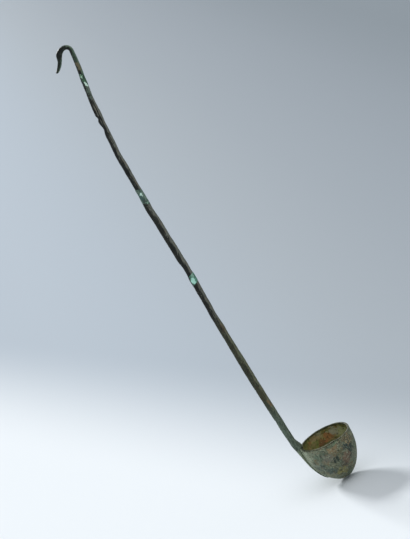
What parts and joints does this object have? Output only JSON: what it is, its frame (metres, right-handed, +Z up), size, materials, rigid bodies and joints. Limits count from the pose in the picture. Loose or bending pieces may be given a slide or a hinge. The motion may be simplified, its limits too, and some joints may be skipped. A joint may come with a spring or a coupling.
{
  "type": "dipping ladle",
  "caption": "Ancient bronze dipping ladle: deep round bowl on a long upright handle that curls into a bird-head hook, with green resin mends.",
  "frame": {"origin": "the point under the top of the hook's bend where the ladle hangs", "axes": "+Z up along the bowl's axis, +X from the handle towards the far lip of the bowl, Y across the ladle"},
  "size_m": [0.0923, 0.051, 0.4763],
  "materials": {
    "bowl_bronze": "corroded bronze, olive and grey green with red and mint patches",
    "solder": "dull grey green corroded solder",
    "lower_bronze": "olive patina with fine grain",
    "shaft_bronze": "dark brown black patina with grey ridges",
    "hook_bronze": "green black patina, worn smooth",
    "mint_fill": "tinted resin, mint",
    "green_fill": "tinted resin, dark green with pale flecks",
    "pin_steel": "bare steel rod"
  },
  "bodies": {
    "root": {"bowl": "bowl_bronze", "solder_bed": "solder", "lower_shaft": "lower_bronze", "lower_fill": "mint_fill", "lower_pin": "pin_steel", "middle_shaft": "shaft_bronze", "middle_fill": "green_fill", "middle_pin": "pin_steel", "upper_shaft": "shaft_bronze", "upper_fill": "green_fill", "upper_pin": "pin_steel", "bird_head_hook": "hook_bronze"}
  },
  "joints": []
}
